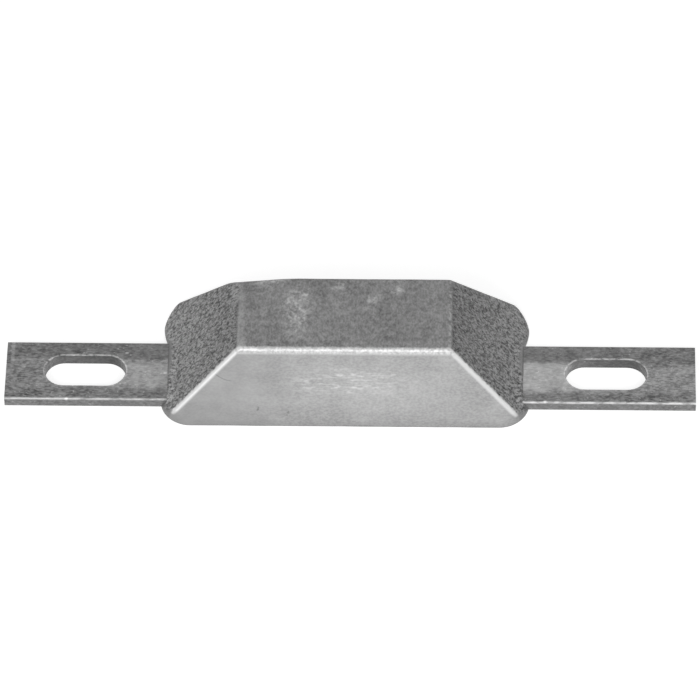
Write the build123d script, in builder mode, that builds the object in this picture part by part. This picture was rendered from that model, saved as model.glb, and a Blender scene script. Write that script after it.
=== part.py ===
from build123d import *
from math import cos, radians, sin
import os

# Bolt-on hull anode: a tapered zinc block cast round a slotted flat steel strap.
# Millimetres. The origin is midway between the two slots, on the underside that lies
# against the hull. X runs along the strap, Y across it, and Z away from the hull.

# Steel strap: flat bar, cut off a little nearer to one slot than to the other.
strap_width = 30.0
strap_thickness = 5.0
left_reach = 137.0
right_reach = 141.0
bar_edge_radius = 0.8

# Fixing slots, punched from above.
slot_spacing = 210.0
slot_length = 32.6
slot_width = 15.6
slot_rim_radius = 0.4

# Key holes inside the block, which the zinc fills down to the underside.
key_hole_count = 3
key_hole_radius = 5.0
key_hole_spacing = 40.0

# Zinc block. Its middle lies off the strap's middle by the offset.
block_length = 148.4
block_width = 62.2
block_height = 33.9
block_offset = 6.4
top_length = 85.4
top_width = 37.7
land_height = 1.3
corner_radius = 12.5
ridge_radius = 2.2
shoulder_radius = 1.0
foot_radius = 0.6

# Waist: the ends are cut back round the strap, and swell into an ear behind it.
waist_depth = 2.4
waist_angle = 18.0

# Collar: the mould's flat shut-off over the strap, in each waist.
collar_height = 1.5
collar_depth = 6.0

# Wear: the back left corner of the top is knocked down.
wear_length = 12.0
wear_width = 9.0
wear_drop = 2.2
wear_radius = 2.0

waist_reach = block_length / 2 - waist_depth
ear_middle = Vector(
    block_length / 2 - corner_radius,
    block_offset + block_width / 2 - corner_radius,
)
ear_reach = ear_middle.X + corner_radius * cos(radians(waist_angle))
run_length = (ear_reach - waist_reach) / sin(radians(waist_angle))

block_base = Plane(origin=(0, block_offset, 0))
front_view = Plane(origin=(0, block_offset, 0), x_dir=(1, 0, 0), z_dir=(0, -1, 0))
side_view = Plane(origin=(0, block_offset, 0), x_dir=(0, 1, 0), z_dir=(1, 0, 0))


def elevation(base, top):
    """Outline of the block seen level: its land, two slopes and the flat top."""
    with BuildLine() as outline:
        Polyline(
            (-base / 2, 0),
            (-base / 2, land_height),
            (-top / 2, block_height),
            (top / 2, block_height),
            (base / 2, land_height),
            (base / 2, 0),
            close=True,
        )
    return outline.edges()


# Strap: rolled long edges, two round-ended slots and the key holes.
with BuildPart() as steel_strap:
    with BuildSketch(Plane.YZ.offset(-left_reach)):
        with Locations((0, strap_thickness / 2)):
            RectangleRounded(strap_width, strap_thickness, bar_edge_radius)
    extrude(amount=left_reach + right_reach)
    with BuildSketch():
        with GridLocations(slot_spacing, 0, 2, 1):
            SlotOverall(slot_length, slot_width)
        with GridLocations(key_hole_spacing, 0, key_hole_count, 1):
            Circle(key_hole_radius)
    extrude(amount=strap_thickness, mode=Mode.SUBTRACT)
    rims = steel_strap.faces().sort_by(Axis.Z)[-1].inner_wires().edges()
    fillet(rims.filter_by(lambda rim: abs(rim.center().X) > block_length / 2), slot_rim_radius)

# Block: rounded in plan, cut to the slopes of its front and side views.
with BuildPart() as zinc_block:
    with BuildSketch(block_base):
        RectangleRounded(block_length, block_width, corner_radius)
    extrude(amount=block_height)
    with BuildSketch(front_view):
        make_face(elevation(block_length, top_length))
    extrude(amount=block_width / 2, both=True, mode=Mode.INTERSECT)
    with BuildSketch(side_view):
        make_face(elevation(block_width, top_width))
    extrude(amount=block_length / 2, both=True, mode=Mode.INTERSECT)

    # Cast edges: the hips and the top, then the shoulder over the land, then the foot.
    top_edges = zinc_block.faces().sort_by(Axis.Z)[-1].edges()
    lines = zinc_block.edges().filter_by(GeomType.LINE)
    hips = lines - lines.filter_by(Axis.X) - lines.filter_by(Axis.Y) - lines.filter_by(Axis.Z)
    fillet(hips + top_edges, ridge_radius)
    shoulder = zinc_block.edges().filter_by_position(Axis.Z, land_height, block_height / 4)
    fillet(shoulder, shoulder_radius)
    fillet(zinc_block.faces().sort_by(Axis.Z)[0].edges(), foot_radius)

    # Waist: at the back, a straight run leads out of it into the round corner.
    with BuildSketch():
        with BuildLine():
            ear = CenterArc(ear_middle, corner_radius, 0, -waist_angle)
            run = PolarLine(ear @ 1, run_length, direction=ear % 1)
            Polyline(
                run @ 1,
                (waist_reach, -strap_width / 2),
                (block_length, -strap_width / 2),
                (block_length, ear_middle.Y),
                ear @ 0,
            )
        make_face()
        mirror(about=Plane.YZ)
    extrude(amount=block_height, mode=Mode.SUBTRACT)

    # The knocked corner is a shallow facet with a soft edge.
    corner = Vector(-top_length / 2, block_offset + top_width / 2, block_height)
    along = Vector(-wear_length, -wear_width, 0)
    down = Vector(-wear_length, 0, -wear_drop)
    facet = Plane(origin=corner + Vector(wear_length, 0, 0), x_dir=along, z_dir=down.cross(along))
    split(bisect_by=facet, keep=Keep.BOTTOM)
    fillet(zinc_block.faces().filter_by(facet).edges(), wear_radius)

    # Collars stand over the strap, and the strap's own shape is its bed in the zinc.
    with BuildSketch():
        with GridLocations(2 * waist_reach - collar_depth, 0, 2, 1):
            Rectangle(collar_depth, strap_width)
    extrude(amount=strap_thickness + collar_height)
    add(steel_strap.part, mode=Mode.SUBTRACT)

steel_strap.part.label = "steel_strap"
zinc_block.part.label = "zinc_block"
os.makedirs("parts", exist_ok=True)
export_step(steel_strap.part, "parts/steel_strap.step")
export_step(zinc_block.part, "parts/zinc_block.step")
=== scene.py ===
"""Looks for a bolt-on hull anode: a sand-textured zinc casting on a galvanised bar."""

import functools
import math

import bmesh
import bpy
import numpy as np
from mathutils import Matrix, Vector, noise


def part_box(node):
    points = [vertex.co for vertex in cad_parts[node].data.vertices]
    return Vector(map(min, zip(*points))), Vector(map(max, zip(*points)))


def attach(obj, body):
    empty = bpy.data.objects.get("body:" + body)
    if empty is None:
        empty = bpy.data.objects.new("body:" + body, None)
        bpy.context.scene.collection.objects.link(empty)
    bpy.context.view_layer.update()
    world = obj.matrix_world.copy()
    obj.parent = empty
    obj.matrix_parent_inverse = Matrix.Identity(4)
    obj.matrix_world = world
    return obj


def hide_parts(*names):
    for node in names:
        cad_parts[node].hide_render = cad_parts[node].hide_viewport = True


MM = 0.001
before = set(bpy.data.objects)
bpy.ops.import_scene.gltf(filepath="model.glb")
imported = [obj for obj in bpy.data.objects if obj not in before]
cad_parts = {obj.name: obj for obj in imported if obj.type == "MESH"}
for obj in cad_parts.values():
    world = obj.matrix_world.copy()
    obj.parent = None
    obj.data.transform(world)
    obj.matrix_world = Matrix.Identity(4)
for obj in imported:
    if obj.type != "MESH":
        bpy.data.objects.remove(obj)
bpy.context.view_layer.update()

# ---------------------------------------------------------------- sizes, in metres
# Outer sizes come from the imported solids. The others repeat the part's named values.
block_low, block_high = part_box("zinc_block")
strap_low, strap_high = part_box("steel_strap")

HALF_LENGTH = (block_high.x - block_low.x) / 2
HALF_WIDTH = (block_high.y - block_low.y) / 2
HEIGHT = block_high.z
MIDDLE_X = (block_high.x + block_low.x) / 2
MIDDLE_Y = (block_high.y + block_low.y) / 2
HALF_TOP_LENGTH = 42.7 * MM
HALF_TOP_WIDTH = 18.85 * MM
LAND = 1.3 * MM
CORNER = 12.5 * MM

# How far each cast edge is eased, measured down from the faces that meet there.
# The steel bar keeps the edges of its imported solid.
HIP_EASE = 1.6 * MM
TOP_EASE = 1.1 * MM
SHOULDER_EASE = 0.8 * MM
FOOT_EASE = 0.5 * MM
WEAR_EASE = 3.0 * MM

# The knocked back left corner of the top.
WEAR_LENGTH = 12.0 * MM
WEAR_WIDTH = 9.0 * MM
WEAR_DROP = 2.2 * MM

# The waist round the strap, and the run that leads out of it into each back corner.
WAIST_DEPTH = 2.4 * MM
WAIST_ANGLE = math.radians(18)
WAIST_EASE = 1.2 * MM
WAIST_REACH = HALF_LENGTH - WAIST_DEPTH

# The collars over the strap.
COLLAR_HEIGHT = 1.5 * MM
COLLAR_EASE = 0.6 * MM
COLLAR_BLEND = 1.0 * MM

# Sand-cast grain on the ends, and a faint waviness of the whole casting.
SAND_GRAIN = 1.15 * MM
SAND_DEPTH = 0.30 * MM
ACROSS_GRAIN = (1.0, 1.45, 1.0)
CAST_WAVE = 9.0 * MM
CAST_DEPTH = 0.12 * MM


# ---------------------------------------------------------------- the casting's shape
def rounded_meet(first, second, ease):
    """Signed distance to where two solids overlap, with the edge between them eased."""
    outside = np.hypot(np.maximum(first + ease, 0), np.maximum(second + ease, 0))
    return np.minimum(np.maximum(first, second), -ease) + outside


def rounded_join(first, second, ease):
    """Signed distance to two solids together, with the valley between them eased."""
    return -rounded_meet(-first, -second, ease)


def slope(reach, z, foot_reach, top_reach):
    """Signed distance to a plane that leans in from the land to the top."""
    rise = HEIGHT - LAND
    run = foot_reach - top_reach
    return ((reach - foot_reach) * rise + (z - LAND) * run) / math.hypot(rise, run)


def block_faces(points):
    """Signed distances to the end slopes, long slopes, top, and the upright outline."""
    x = np.abs(points[:, 0] - MIDDLE_X)
    y = np.abs(points[:, 1] - MIDDLE_Y)
    z = points[:, 2]
    ends = slope(x, z, HALF_LENGTH, HALF_TOP_LENGTH)
    sides = slope(y, z, HALF_WIDTH, HALF_TOP_WIDTH)
    corner_x = x - HALF_LENGTH + CORNER
    corner_y = y - HALF_WIDTH + CORNER
    corner = np.hypot(np.maximum(corner_x, 0), np.maximum(corner_y, 0))
    wall = corner + np.minimum(np.maximum(corner_x, corner_y), 0) - CORNER

    # The run touches the back corner's round at the waist angle.
    past_x = x - (HALF_LENGTH - CORNER)
    past_y = points[:, 1] - (MIDDLE_Y + HALF_WIDTH - CORNER)
    run = past_x * math.cos(WAIST_ANGLE) - past_y * math.sin(WAIST_ANGLE)
    waist = rounded_join(run - CORNER, x - WAIST_REACH, WAIST_EASE)
    waist = rounded_join(waist, points[:, 1], WAIST_EASE)
    wall = rounded_meet(wall, waist, WAIST_EASE)
    return ends, sides, z - HEIGHT, wall


def block_distance(points):
    """Signed distance to the whole casting, before the strap's bed is cut."""
    ends, sides, top, wall = block_faces(points)
    body = rounded_meet(ends, sides, HIP_EASE)
    body = rounded_meet(body, top, TOP_EASE)
    body = rounded_meet(body, wall, SHOULDER_EASE)

    knocked = np.array((MIDDLE_X - HALF_TOP_LENGTH, MIDDLE_Y + HALF_TOP_WIDTH, HEIGHT))
    lean = np.array((-1 / WEAR_LENGTH, 1 / WEAR_WIDTH, 1 / WEAR_DROP))
    facet = ((points - knocked) @ lean + 1) / np.linalg.norm(lean)
    body = rounded_meet(body, facet, WEAR_EASE)

    out = np.abs(points[:, 0] - MIDDLE_X) - WAIST_REACH
    across = np.abs(points[:, 1]) - strap_high.y
    over = points[:, 2] - (strap_high.z + COLLAR_HEIGHT)
    collar = rounded_meet(rounded_meet(out, over, COLLAR_EASE), across, COLLAR_EASE)
    body = rounded_join(body, collar, COLLAR_BLEND)
    return rounded_meet(body, -points[:, 2], FOOT_EASE)


def gradient(points, step=0.02 * MM):
    """Unit direction out of the casting at each point, and its distance's steepness."""
    columns = []
    for axis in range(3):
        shift = np.zeros(3)
        shift[axis] = step
        columns.append(block_distance(points + shift) - block_distance(points - shift))
    slope_vector = np.stack(columns, axis=1) / (2 * step)
    steepness = np.linalg.norm(slope_vector, axis=1)
    return slope_vector / steepness[:, None], steepness


def settle(points, rounds=12):
    """Moves points onto the casting's surface, straight down or up its distance."""
    for _ in range(rounds):
        outward, steepness = gradient(points)
        points = points - outward * (block_distance(points) / steepness)[:, None]
    return points


# ---------------------------------------------------------------- the casting's mesh
# Steps along each end, round each corner, along each side and up the slopes.
END_STEPS = 112
CORNER_STEPS = 36
SIDE_STEPS = 112
SLOPE_STEPS = 108

# Loops lie under the foot at these insets, and up the land at these shares of it.
FOOT_INSETS = (3.0 * MM, 1.2 * MM, 0.5 * MM)
LAND_SHARES = (0.2, 0.4, 0.6, 0.8)
# Their round corners narrow to the top's over this share of the slopes.
TOP_LOOP_CORNER = 1.2 * MM
CORNER_RUN_OUT = 0.22
# They step in over the top, finely along its edge, and leave a gap in the middle.
EDGE_STEP, EDGE_WIDTH = 0.35 * MM, 3.0 * MM
MIDDLE_STEP, MIDDLE_GAP = 1.0 * MM, 1.6 * MM

# Where across the block the waist draws the loops in: fully between the two fades.
WAIST_FRONT_FADE = (-2 * MM, 2 * MM)
WAIST_BACK_FADE = (25 * MM, 15 * MM)


def smooth_step(value, low, high):
    """0 below low, 1 above high, and an easy curve between."""
    share = np.clip((value - low) / (high - low), 0, 1)
    return share * share * (3 - 2 * share)


def pull_in(x, y, inset):
    """Moves a point of a loop into the waist, so that loops follow each other there."""
    side = y + MIDDLE_Y
    share = smooth_step(side, *WAIST_FRONT_FADE) * smooth_step(side, *WAIST_BACK_FADE)
    over = max(0.0, abs(x) - (WAIST_REACH - inset))
    return x - math.copysign(share * over, x)


def quarter_round(x, y, radius, quarter):
    """Points of a quarter circle about x, y, from that many quarter turns onwards."""
    angles = [(quarter + i / CORNER_STEPS) * math.pi / 2 for i in range(CORNER_STEPS)]
    return [(x + radius * math.cos(a), y + radius * math.sin(a)) for a in angles]


def ring(half_x, half_y, radius, z, inset=0.0):
    """One closed loop round the block: ends finely divided, long sides more coarsely."""
    flat_x, flat_y = half_x - radius, half_y - radius
    loop = []
    for end in (1, -1):
        for step in range(END_STEPS):
            loop.append((end * half_x, end * flat_y * (2 * step / END_STEPS - 1)))
        loop += quarter_round(end * flat_x, end * flat_y, end * radius, 0)
        for step in range(SIDE_STEPS):
            loop.append((end * flat_x * (1 - 2 * step / SIDE_STEPS), end * half_y))
        loop += quarter_round(-end * flat_x, end * flat_y, end * radius, 1)
    return [(pull_in(x, y, inset) + MIDDLE_X, y + MIDDLE_Y, z) for x, y in loop]


def block_rings():
    """Loops from under the foot, up the land and slopes, to the middle of the top."""
    rings = [
        ring(HALF_LENGTH - inset, HALF_WIDTH - inset, CORNER - inset, 0.0, inset)
        for inset in FOOT_INSETS
    ]
    for share in LAND_SHARES:
        rings.append(ring(HALF_LENGTH, HALF_WIDTH, CORNER, LAND * share))
    for step in range(SLOPE_STEPS + 1):
        share = step / SLOPE_STEPS
        half_x = HALF_LENGTH + (HALF_TOP_LENGTH - HALF_LENGTH) * share
        half_y = HALF_WIDTH + (HALF_TOP_WIDTH - HALF_WIDTH) * share
        radius = CORNER + (TOP_LOOP_CORNER - CORNER) * min(1.0, share / CORNER_RUN_OUT)
        rings.append(ring(half_x, half_y, radius, LAND + (HEIGHT - LAND) * share))
    inset = 0.0
    while inset < HALF_TOP_WIDTH - MIDDLE_GAP:
        inset += EDGE_STEP if inset < EDGE_WIDTH else MIDDLE_STEP
        half_x = HALF_TOP_LENGTH - inset
        half_y = HALF_TOP_WIDTH - inset
        rings.append(ring(half_x, half_y, min(TOP_LOOP_CORNER, half_y / 2), HEIGHT))
    return rings


def noise_at(points, size, offset):
    """Smooth noise of about that grain at each point, from -1 to 1."""
    shift = Vector((offset, -offset, 0.5 * offset))
    return np.array([noise.noise(Vector(p) / size + shift) for p in points])


def pebbles_at(points, size):
    """Rounded grains of about that size: 1 at their middles, down to 0 between them."""
    reach = [noise.voronoi(Vector(p) / size)[0][0] for p in points]
    return np.clip(1 - np.array(reach) * 1.25, 0, 1)


def sand_share(points, ends, sides, top, wall):
    """How far each point is in the sand texture: 1 on the end slopes, 0 off them."""
    height = points[:, 2]
    share = smooth_step(ends - np.maximum(sides, top), -0.3 * MM, 1.2 * MM)
    share *= smooth_step(height, 0.8 * MM, 1.8 * MM)
    # It fades out wider beside the strap, so that the collars stay smooth.
    beside_strap = smooth_step(np.abs(points[:, 1]), 19 * MM, 14 * MM)
    inner, outer = 0.7 * beside_strap, 0.6 + 1.8 * beside_strap
    return share * smooth_step(-wall, inner * MM, outer * MM)


def sand_grain(points):
    """Pebbly grain from 0 in the pits to 1 on the tops, finer across the block."""
    closer = points * ACROSS_GRAIN
    pebbles = pebbles_at(closer, SAND_GRAIN * 1.5)
    roughness = 0.5 + 0.9 * noise_at(closer, SAND_GRAIN, 3.7)
    return np.clip(0.55 * pebbles + 0.45 * roughness, 0, 1)


def make_block():
    """The casting, with its grain in the mesh, and the values that its material reads."""
    rings = block_rings()
    count = len(rings[0])
    points = settle(np.array([p for loop in rings for p in loop]))
    outward, _ = gradient(points)
    sand = sand_share(points, *block_faces(points))
    grain = sand_grain(points)
    wave = 0.5 + 0.5 * noise_at(points, CAST_WAVE, 11.3)
    above_foot = points[:, 2] > 0.1 * MM
    depth = SAND_DEPTH * sand * (1 - grain) + CAST_DEPTH * wave * above_foot
    points = points - outward * depth[:, None]

    vertices = [tuple(p) for p in points]
    faces = []
    for row in range(len(rings) - 1):
        for column in range(count):
            after = (column + 1) % count
            low, high = row * count, (row + 1) * count
            faces.append((low + column, low + after, high + after, high + column))
    faces.append(tuple(reversed(range(count))))
    faces.append(tuple(range((len(rings) - 1) * count, len(rings) * count)))
    mesh = bpy.data.meshes.new("zinc_casting")
    mesh.from_pydata(vertices, [], faces)

    for name, value in {"sand": sand, "grain": grain}.items():
        layer = mesh.attributes.new(name, "FLOAT", "POINT")
        layer.data.foreach_set("value", value.astype(np.float32))
    casting = bpy.data.objects.new("zinc_casting", mesh)
    bpy.context.scene.collection.objects.link(casting)
    return casting


# The strap's bed: what counts as its underside, and how far below it the cut runs out.
UNDERSIDE = 0.01 * MM
CUT_THROUGH = 1.0 * MM
WELD_REACH = 0.001 * MM
SAME_CORNER = 0.0002 * MM
SMOOTH_ANGLE = math.radians(40)


def drop_folded_faces(mesh):
    """Takes out slivers that the cut left lying face to face on the same corners."""
    built = bmesh.new()
    built.from_mesh(mesh)
    bmesh.ops.remove_doubles(built, verts=built.verts, dist=SAME_CORNER)
    bmesh.ops.triangulate(built, faces=built.faces)
    seen = {}
    for face in built.faces:
        seen.setdefault(frozenset(corner.index for corner in face.verts), []).append(face)
    folded = [face for faces in seen.values() if len(faces) > 1 for face in faces]
    bmesh.ops.delete(built, geom=folded, context="FACES")
    built.to_mesh(mesh)
    built.free()


def cut_bed(casting):
    """Cuts the strap's own shape out of the casting, through its underside."""
    cutter_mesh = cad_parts["steel_strap"].data.copy()
    for vertex in cutter_mesh.vertices:
        if vertex.co.z < UNDERSIDE:
            vertex.co.z = -CUT_THROUGH
    cutter = bpy.data.objects.new("bed_cutter", cutter_mesh)
    bpy.context.scene.collection.objects.link(cutter)
    weld = cutter.modifiers.new("weld", "WELD")
    weld.merge_threshold = WELD_REACH
    cut = casting.modifiers.new("bed", "BOOLEAN")
    cut.operation = "DIFFERENCE"
    cut.solver = "EXACT"
    cut.object = cutter
    bpy.context.view_layer.update()
    shaped = bpy.data.meshes.new_from_object(
        casting.evaluated_get(bpy.context.evaluated_depsgraph_get())
    )
    casting.modifiers.clear()
    casting.data = shaped
    bpy.data.objects.remove(cutter)
    drop_folded_faces(shaped)
    for polygon in shaped.polygons:
        polygon.use_smooth = True
    shaped.set_sharp_from_angle(angle=SMOOTH_ANGLE)


# ---------------------------------------------------------------- materials
# The greys are linear base colours, and patches are placed in millimetres.
ZINC_METALLIC = 0.3
SMOOTH_ROUGHNESS, SAND_ROUGHNESS, EDGE_HIGHLIGHT_ROUGHNESS = 0.5, 0.65, 0.45
STEEL_METALLIC = 0.4
STEEL_ROUGHNESS = 0.5
FINE_BUMP = 0.05
SAND_BUMP = 0.35

# The strap's slots, in millimetres: their middles, straight sides and round ends.
SLOT_MIDDLE = 105.0
SLOT_HALF_FLAT = 8.5
SLOT_RADIUS = 7.8


class Finish:
    """A principled material with short calls that add nodes. It works in millimetres."""

    def __init__(self, name):
        self.material = bpy.data.materials.new(name)
        self.material.use_nodes = True
        self.tree = self.material.node_tree
        self.shader = self.tree.nodes["Principled BSDF"]
        scaled = self.add("ShaderNodeVectorMath", operation="SCALE")
        self.feed(scaled.inputs[0], self.add("ShaderNodeTexCoord").outputs["Object"])
        scaled.inputs["Scale"].default_value = 1 / MM
        self.place = scaled.outputs[0]
        split = self.add("ShaderNodeSeparateXYZ")
        self.feed(split.inputs[0], self.place)
        self.x, self.y, self.z = split.outputs

    def add(self, kind, **settings):
        made = self.tree.nodes.new(kind)
        for name, value in settings.items():
            setattr(made, name, value)
        return made

    def feed(self, socket, value):
        if isinstance(value, bpy.types.NodeSocket):
            self.tree.links.new(value, socket)
        else:
            socket.default_value = value

    def math(self, operation, *values):
        made = self.add("ShaderNodeMath", operation=operation)
        for socket, value in zip(made.inputs, values):
            self.feed(socket, value)
        return made.outputs[0]

    def plus(self, *values):
        return functools.reduce(lambda a, b: self.math("ADD", a, b), values)

    def times(self, *values):
        return functools.reduce(lambda a, b: self.math("MULTIPLY", a, b), values)

    def most(self, *values):
        return functools.reduce(lambda a, b: self.math("MAXIMUM", a, b), values)

    def off(self, value, middle):
        """How far a value lies from the middle one, either way."""
        return self.math("ABSOLUTE", self.math("SUBTRACT", value, middle))

    def ease(self, value, low, high, at_low=0.0, at_high=1.0):
        """One level below low, another above high, and an easy curve between."""
        made = self.add("ShaderNodeMapRange", interpolation_type="SMOOTHSTEP")
        for socket, given in zip(made.inputs, (value, low, high, at_low, at_high)):
            self.feed(socket, given)
        return made.outputs[0]

    def within(self, value, middle, core, reach):
        """1 up to core from the middle value, fading to 0 at reach."""
        return self.ease(self.off(value, middle), core, reach, 1.0, 0.0)

    def blend(self, share, first, second):
        rest = self.math("SUBTRACT", 1.0, share)
        return self.plus(self.times(rest, first), self.times(share, second))

    def value(self, name):
        return self.add("ShaderNodeAttribute", attribute_name=name).outputs["Fac"]

    def noise(self, size, detail=3.0, stretch=(1, 1, 1), shift=0.0):
        """Smooth noise from 0 to 1, in grains of about that size drawn out by stretch."""
        drawn = self.add("ShaderNodeVectorMath", operation="MULTIPLY_ADD")
        self.feed(drawn.inputs[0], self.place)
        drawn.inputs[1].default_value = [1 / (size * share) for share in stretch]
        drawn.inputs[2].default_value = (shift, shift, shift)
        made = self.add("ShaderNodeTexNoise")
        self.feed(made.inputs["Vector"], drawn.outputs[0])
        made.inputs["Scale"].default_value = 1.0
        made.inputs["Detail"].default_value = detail
        return made.outputs["Fac"]

    def mottle(self, size, detail=3.0, stretch=(1, 1, 1), shift=0.0):
        """Noise spread over the whole range from 0 to 1, with an average of one half."""
        return self.ease(self.noise(size, detail, stretch, shift), 0.3, 0.7)

    def patch(self, middle, half):
        """1 at a point, fading to 0 over an egg shape round it."""
        moved = self.add("ShaderNodeVectorMath", operation="SUBTRACT")
        self.feed(moved.inputs[0], self.place)
        moved.inputs[1].default_value = middle
        sized = self.add("ShaderNodeVectorMath", operation="DIVIDE")
        self.feed(sized.inputs[0], moved.outputs[0])
        sized.inputs[1].default_value = half
        reach = self.add("ShaderNodeVectorMath", operation="LENGTH")
        self.feed(reach.inputs[0], sized.outputs[0])
        return self.ease(reach.outputs["Value"], 0.15, 1.0, 1.0, 0.0)

    def patches(self, half, *middles):
        return self.most(*(self.patch(middle, half) for middle in middles))

    def bump(self, height, depth, below=None):
        made = self.add("ShaderNodeBump")
        made.inputs["Distance"].default_value = depth * MM
        self.feed(made.inputs["Height"], height)
        if below is not None:
            self.feed(made.inputs["Normal"], below)
        return made.outputs["Normal"]

    def finish(self, grey, roughness, metallic, normal):
        self.feed(self.shader.inputs["Base Color"], grey)
        self.feed(self.shader.inputs["Roughness"], roughness)
        self.feed(self.shader.inputs["Metallic"], metallic)
        self.feed(self.shader.inputs["Normal"], normal)
        return self.material


def zinc_depths(f):
    """How deep a point lies under the end slopes, the long slopes and the top."""
    rise = HEIGHT - LAND
    depths = []
    for value, middle, foot, top in (
        (f.x, MIDDLE_X, HALF_LENGTH, HALF_TOP_LENGTH),
        (f.y, MIDDLE_Y, HALF_WIDTH, HALF_TOP_WIDTH),
    ):
        slant = math.hypot(rise, foot - top)
        inward = f.math("SUBTRACT", foot / MM, f.off(value, middle / MM))
        upward = f.math("SUBTRACT", f.z, LAND / MM)
        depths.append(
            f.plus(f.times(inward, rise / slant), f.times(upward, (top - foot) / slant))
        )
    return *depths, f.math("SUBTRACT", HEIGHT / MM, f.z)


def front_face_grey(f):
    """Dull, softly clouded casting skin with a few scuffs, pits and one fine scratch, and
    painted shade along the foot.
    """
    grey = f.plus(
        0.27,
        f.times(f.mottle(16, 2, (1.5, 1, 1)), 0.04),
        f.times(f.mottle(4.5, 3, (1.8, 1, 1)), 0.04),
        f.times(f.mottle(0.9, 3, (1.3, 1, 0.8)), f.ease(f.x, -50, -12, 0.03, 0.085)),
        f.ease(f.x, -50, -12, 0.0275, 0),
        f.times(f.patch((12, -20, 19), (46, 30, 17)), 0.05),
    )
    # Darker to the left and lower down, and darkest in a thin strip along the foot:
    # painted contact shade.
    grey = f.times(
        grey,
        f.ease(f.x, -60, 10, 0.92, 1.0),
        f.ease(f.z, 1, 13, 0.93, 1.0),
        f.ease(f.z, 0.2, 1.2, 0.75, 1.0),
    )
    scuff = f.most(
        f.times(f.ease(f.noise(1.1, 3, (7, 1, 0.6)), 0.53, 0.68), 0.7),
        f.times(f.ease(f.noise(1.3, 3, (3, 1, 1), 4.0), 0.5, 0.68), 1.0),
    )
    scuff = f.times(scuff, f.patch((2, -17, 20), (36, 30, 8)))
    pit = f.patches((0.9, 30, 2.2), (-34.7, -22, 8.2), (-22.6, -22, 6.3))
    pit = f.times(pit, f.ease(f.noise(0.9, 2), 0.4, 0.6))
    bend = f.math("DIVIDE", f.math("SUBTRACT", -45.0, f.x), 7.0)
    scratch = f.times(
        f.within(f.z, f.plus(20.0, f.times(bend, bend, 3.3)), 0.1, 0.4),
        f.within(f.x, -48.7, 2.8, 4.2),
        f.ease(f.y, -6, -4, 1.0, 0.0),
    )
    marks = (f.times(scuff, 0.19), f.times(pit, -0.14), f.times(scratch, -0.09))
    return f.plus(grey, *marks)


def top_face_grey(f):
    """The darker skimmed top: fine grain, a broad smear and a few pale rubs."""
    grey = f.plus(
        0.105,
        f.times(f.mottle(0.9, 3, (0.8, 1.3, 1)), 0.11),
        f.times(f.mottle(2.6, 3), 0.07),
        f.times(f.mottle(10, 2), 0.05),
    )
    rubs = ((-15.9, 17, 33), (-3.1, 21, 33), (11.5, 14, 33), (21, 19, 33))
    smear = f.most(
        f.patch((-19.5, 8, 33), (9, 20, 8)),
        f.patches((5, 4, 8), *rubs),
        f.patch((-30, 24, 33), (11, 6, 8)),
    )
    cloud = f.times(f.mottle(5, 3, shift=7.0), 0.14)
    fleck = f.times(f.ease(f.noise(1.7, 4, shift=5.0), 0.46, 0.66), 0.2)
    return f.plus(grey, f.times(smear, f.plus(cloud, fleck)))


def end_face_grey(f):
    """Sand-cast pebbles: pale tops and dark pits, partly painted shade; darker towards
    the top of the slope, with painted shade on the right end.
    """
    pebble = f.plus(f.times(f.value("grain"), 0.6), f.noise(0.6, 3, (1, 0.6, 1)))
    # Dark pits and pale pebble tops: partly the grain's own tone, partly painted shade in
    # the hollows.
    grey = f.blend(f.ease(pebble, 0.48, 1.0), 0.05, 0.40)
    fleck = f.ease(f.noise(0.7, 1, (1, 0.7, 1), 9.0), 0.62, 0.76)
    grey = f.plus(grey, f.times(fleck, 0.22))
    return f.times(
        grey,
        f.ease(f.z, 6, 31, 1.14, 0.88),
        f.ease(f.z, 31.5, 33.2, 1.0, 0.78),
        # Painted shade: the right end darker than the left.
        f.ease(f.x, -20, 20, 1.0, 0.88),
    )


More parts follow.
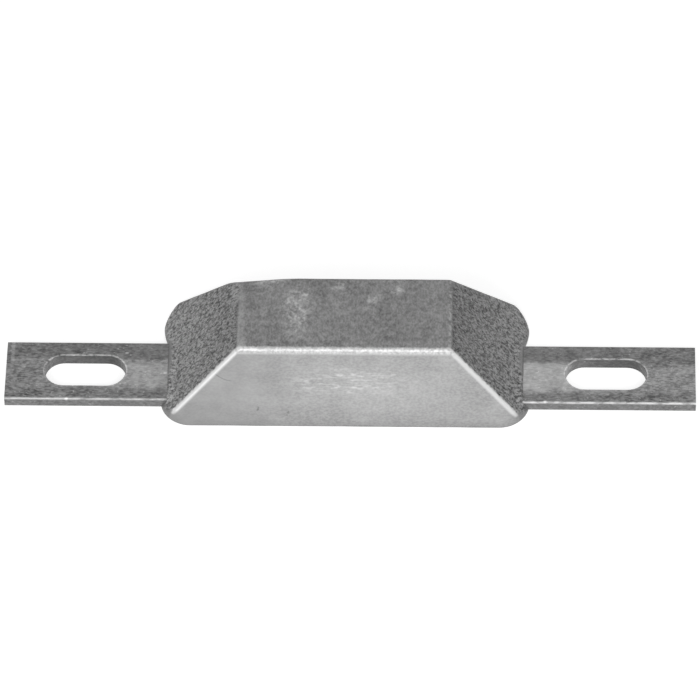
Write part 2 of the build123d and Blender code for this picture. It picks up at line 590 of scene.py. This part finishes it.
def zinc_finish():
    """Smooth light sides, dark sand-textured ends, a dull top and painted highlights on
    the front edges.
    """
    f = Finish("cast_zinc")
    end_depth, side_depth, top_depth = zinc_depths(f)
    front = f.ease(f.y, MIDDLE_Y / MM - 2, MIDDLE_Y / MM + 2, 1.0, 0.0)
    left = f.ease(f.x, -2, 2, 1.0, 0.0)

    knocked = f.ease(f.patch((-41, 24, 33), (17, 14, 5)), 0.05, 0.3)
    on_top = f.most(f.ease(top_depth, 0.3, 0.9, 1.0, 0.0), knocked)
    on_end = f.ease(f.math("SUBTRACT", side_depth, end_depth), 0, 1.5)
    side_grey = f.times(front_face_grey(f), f.blend(on_end, 1.0, 0.7))
    grey = f.blend(on_top, side_grey, top_face_grey(f))
    grey = f.blend(f.value("sand"), grey, end_face_grey(f))

    # The front edges carry a painted highlight. Those at the ends of the top are only a
    # little paler.
    ragged = f.times(f.noise(1.0, 3), 1.6)
    along_top = f.times(
        f.ease(f.plus(side_depth, ragged), 1.2, 2.4, 1.0, 0.0),
        f.ease(top_depth, 1.5, 3.0, 1.0, 0.0),
    )
    along_hips = f.times(
        f.ease(f.plus(side_depth, f.times(ragged, 0.4)), 1.0, 2.2, 1.0, 0.0),
        f.ease(end_depth, 0.9, 2.2, 1.0, 0.0),
        f.ease(f.z, 0.8, 4.0),
    )
    front_highlight = f.times(f.most(along_top, along_hips), front)
    rim = f.times(
        f.ease(f.plus(end_depth, ragged), 2.0, 3.6, 1.0, 0.0), on_top, left, 0.08
    )
    # A broken paler line along the top edge of the right end.
    broken_pale_line = f.times(
        f.ease(end_depth, 0.6, 1.1, 1.0, 0.0),
        f.ease(top_depth, 0.3, 0.8, 1.0, 0.0),
        f.ease(f.noise(1.8, 3, shift=2.0), 0.4, 0.6),
        f.math("SUBTRACT", 1.0, left),
        0.16,
    )
    # The painted highlight's grey, palest along the top's front edge.
    edge_highlight_grey = f.blend(along_top, 0.66, f.plus(0.44, f.times(f.mottle(1.1), 0.24)))
    grey = f.blend(front_highlight, f.plus(grey, rim, broken_pale_line), edge_highlight_grey)

    roughness = f.blend(f.value("sand"), SMOOTH_ROUGHNESS, SAND_ROUGHNESS)
    roughness = f.blend(front_highlight, roughness, EDGE_HIGHLIGHT_ROUGHNESS)
    fine = f.bump(f.noise(0.7, 3), FINE_BUMP)
    sand = f.bump(f.times(f.value("sand"), f.noise(0.9, 3)), SAND_BUMP, fine)
    return f.finish(grey, roughness, ZINC_METALLIC, sand)


def slot_marks(f, from_middle):
    """The factor of painted shade on the slots' walls, darker on the side turned from the
    light, and a painted highlight round their top edge.
    """
    past = f.plus(f.off(from_middle, SLOT_MIDDLE), -SLOT_HALF_FLAT)
    past = f.most(past, 0.0)
    beside = f.math("SQRT", f.plus(f.times(past, past), f.times(f.y, f.y)))
    wall = f.ease(beside, SLOT_RADIUS + 0.05, SLOT_RADIUS + 0.2, 1.0, 0.0)
    along = f.math("SUBTRACT", f.x, f.times(f.math("SIGN", f.x), SLOT_MIDDLE))
    # Painted shade: darker on the walls turned from the light.
    shade = f.blend(wall, 1.0, f.ease(along, -16, 16, 0.95, 0.5))
    # A painted highlight round the top edge of each slot, stronger at the back.
    lip_highlight = f.times(
        f.within(beside, SLOT_RADIUS + 0.45, 0.1, 0.5),
        f.ease(f.y, -5, 5, 0.25, 1.0),
        f.ease(f.z, 4.5, 4.8),
    )
    return shade, f.times(lip_highlight, f.ease(f.noise(1.4, 2), 0.3, 0.6), 0.30)


def strap_finish():
    """Mottled dull galvanising, with painted reflection bands along the bar and a painted
    highlight on the front arris.
    """
    f = Finish("galvanised_steel")
    from_middle = f.math("ABSOLUTE", f.x)
    # Painted reflection: a pale stripe along the middle of the bar, palest near the
    # block, with a painted highlight along its back edge.
    fade = f.ease(from_middle, 80, 122, 1.0, f.ease(f.x, -1, 1, 0.25, 0.34))
    across = f.plus(f.y, f.times(f.mottle(6, 3), 2.0))
    reflection_band = f.times(f.ease(across, -10.5, -5.0), f.ease(across, 3.2, 8.8, 1.0, 0.0))
    band_edge_highlight = f.times(
        f.within(f.y, f.plus(4.7, f.times(f.noise(9, 2), 1.2)), 0.1, 1.0),
        f.ease(f.noise(1.1, 3, (4, 1, 1)), 0.42, 0.62),
    )
    flake = f.ease(f.noise(1.1, 1, shift=3.0), 0.66, 0.78)
    fine = f.times(
        f.plus(f.mottle(0.9, 3, (1.7, 0.8, 1)), -0.5),
        f.ease(f.y, 2, 8, 0.14, 0.11),
        f.ease(from_middle, 95, 125, 1.0, 1.3),
    )
    coarse = f.times(
        f.plus(f.mottle(3.6, 3, (1.6, 1, 1)), -0.5),
        f.ease(f.y, 2, 8, 0.085, 0.07),
        f.ease(from_middle, 90, 115, 0.7, 1.1),
    )
    paler = f.plus(0.14, f.times(f.mottle(3.0), 0.06), f.ease(f.x, 0, 1, 0.01, 0.075))
    rub = f.times(f.within(f.x, -134.6, 0.3, 1.1), f.ease(f.y, 0, 6))
    grey = f.plus(
        f.ease(f.x, -1, 1, 0.068, 0.08),
        # Painted reflection: the back of the bar darker than the middle.
        f.ease(f.y, 2, 8, 0.1125, 0.09),
        f.times(f.plus(fine, coarse), f.ease(f.z, 4.2, 4.8, 0.6, 1.0)),
        f.times(reflection_band, fade, paler),
        f.times(band_edge_highlight, 0.13),
        f.times(flake, 0.15),
        f.times(rub, 0.09),
    )
    shade, lip_highlight = slot_marks(f, from_middle)
    grey = f.plus(f.times(grey, shade), lip_highlight)

    # A painted highlight along the bar's front arris, broken by noise and a little
    # stronger on the right.
    edge = f.times(
        f.ease(f.y, -14.7, -14.0, 1.0, 0.0),
        f.ease(f.z, 3.9, 4.5),
        f.ease(f.noise(1.6, 4, (3, 1, 1)), 0.35, 0.6, 0.25, 1.0),
    )
    specks = ((-112, -14.8, 5), (-72.7, -1.1, 5), (-88.5, 9.4, 5), (80.4, -14.4, 5))
    grey = f.blend(edge, grey, f.ease(f.x, -1, 1, 0.42, 0.55))
    grey = f.plus(grey, f.times(f.patches((1.1, 0.8, 2), *specks), 0.3))
    bumps = f.bump(f.noise(0.8, 3), FINE_BUMP)
    return f.finish(grey, STEEL_ROUGHNESS, STEEL_METALLIC, bumps)


# ---------------------------------------------------------------- floor, light, camera
# The floor lies a hair under the part, so that their faces never coincide.
FLOOR_REACH = 4.0
FLOOR_DROP = 0.05 * MM
FLOOR_GREY = 0.55
FLOOR_GLOW = 0.74
SKY_LIGHT = 0.3
SKY_SEEN = 1.0

# Degrees round and up, then distance and size in metres, and watts.
KEY_LAMP = (-15, 30, 2.5, 1.6, 42)
FILL_LAMP = (60, 45, 2.5, 1.6, 12)

# The camera: angles in degrees, distance in metres, focal length in pixels, and slide.
CAMERA_ELEVATION, CAMERA_AZIMUTH, CAMERA_ROLL = 49.458, 1.855, -0.955
CAMERA_DISTANCE = 2.7070
FOCAL_PIXELS = 6705.9
FRAME_PIXELS = 700
SLIDE_RIGHT, SLIDE_UP = 1.79 * MM, 12.26 * MM


def seen_plainly(tree):
    """1 for the camera's own rays and for mirrored ones, 0 for soft light."""
    rays = tree.nodes.new("ShaderNodeLightPath")
    either = tree.nodes.new("ShaderNodeMath")
    either.operation = "MAXIMUM"
    tree.links.new(rays.outputs["Is Camera Ray"], either.inputs[0])
    tree.links.new(rays.outputs["Is Glossy Ray"], either.inputs[1])
    return either.outputs[0]


def make_floor():
    """A white floor, just under the part, that keeps a faint soft shadow."""
    mesh = bpy.data.meshes.new("floor")
    signs = [(-1, -1), (1, -1), (1, 1), (-1, 1)]
    corners = [(x * FLOOR_REACH, y * FLOOR_REACH, -FLOOR_DROP) for x, y in signs]
    mesh.from_pydata(corners, [], [(0, 1, 2, 3)])
    floor = bpy.data.objects.new("floor", mesh)
    bpy.context.scene.collection.objects.link(floor)

    paint = bpy.data.materials.new("floor_white")
    paint.use_nodes = True
    tree = paint.node_tree
    tree.nodes.clear()
    matt = tree.nodes.new("ShaderNodeBsdfDiffuse")
    matt.inputs["Color"].default_value = (FLOOR_GREY, FLOOR_GREY, FLOOR_GREY, 1)
    glow = tree.nodes.new("ShaderNodeEmission")
    level = tree.nodes.new("ShaderNodeMath")
    level.operation = "MULTIPLY"
    level.inputs[1].default_value = FLOOR_GLOW
    tree.links.new(seen_plainly(tree), level.inputs[0])
    tree.links.new(level.outputs[0], glow.inputs["Strength"])
    both = tree.nodes.new("ShaderNodeAddShader")
    tree.links.new(matt.outputs[0], both.inputs[0])
    tree.links.new(glow.outputs[0], both.inputs[1])
    out = tree.nodes.new("ShaderNodeOutputMaterial")
    tree.links.new(both.outputs[0], out.inputs["Surface"])
    mesh.materials.append(paint)


def make_surround():
    """A white world that gives less light than it shows."""
    world = bpy.data.worlds.new("studio")
    world.use_nodes = True
    bpy.context.scene.world = world
    sky = world.node_tree
    background = sky.nodes["Background"]
    background.inputs["Color"].default_value = (1, 1, 1, 1)
    strength = sky.nodes.new("ShaderNodeMapRange")
    strength.inputs["To Min"].default_value = SKY_LIGHT
    strength.inputs["To Max"].default_value = SKY_SEEN
    sky.links.new(seen_plainly(sky), strength.inputs["Value"])
    sky.links.new(strength.outputs["Result"], background.inputs["Strength"])


def look_from(azimuth, elevation):
    """Unit direction from the part to a lamp or camera. Azimuth 0 is in front, on -Y."""
    flat = math.cos(elevation)
    return Vector(
        (math.sin(azimuth) * flat, -math.cos(azimuth) * flat, math.sin(elevation))
    )


def add_lamp(name, azimuth, elevation, distance, size, power):
    """A square soft light that looks at the part."""
    lamp = bpy.data.lights.new(name, "AREA")
    lamp.size = size
    lamp.energy = power
    source = bpy.data.objects.new(name, lamp)
    back = look_from(math.radians(azimuth), math.radians(elevation))
    source.location = back * distance
    source.rotation_euler = back.to_track_quat("Z", "Y").to_euler()
    bpy.context.scene.collection.objects.link(source)


def make_camera():
    """The long lens of the picture, from in front and about 50 degrees above."""
    azimuth, roll = math.radians(CAMERA_AZIMUTH), math.radians(CAMERA_ROLL)
    back = look_from(azimuth, math.radians(CAMERA_ELEVATION))
    level = Vector((math.cos(azimuth), math.sin(azimuth), 0))
    upright = back.cross(level)
    right = level * math.cos(roll) + upright * math.sin(roll)
    up = upright * math.cos(roll) - level * math.sin(roll)
    lens = bpy.data.cameras.new("camera")
    lens.sensor_width = 36.0
    lens.lens = lens.sensor_width * FOCAL_PIXELS / FRAME_PIXELS
    lens.clip_end = 20.0
    camera = bpy.data.objects.new("camera", lens)
    place = back * CAMERA_DISTANCE + right * SLIDE_RIGHT + up * SLIDE_UP
    turn = Matrix((right, up, back)).transposed().to_4x4()
    camera.matrix_world = Matrix.Translation(place) @ turn
    bpy.context.scene.collection.objects.link(camera)
    bpy.context.scene.camera = camera


# ---------------------------------------------------------------- the scene
casting = make_block()
cut_bed(casting)
casting.data.materials.clear()
casting.data.materials.append(zinc_finish())
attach(casting, "root")
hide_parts("zinc_block")

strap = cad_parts["steel_strap"]
for material_slot in strap.material_slots:
    material_slot.material = strap_finish()

make_floor()
make_surround()
add_lamp("key", *KEY_LAMP)
add_lamp("fill", *FILL_LAMP)
make_camera()
bpy.context.scene.view_settings.view_transform = "Standard"
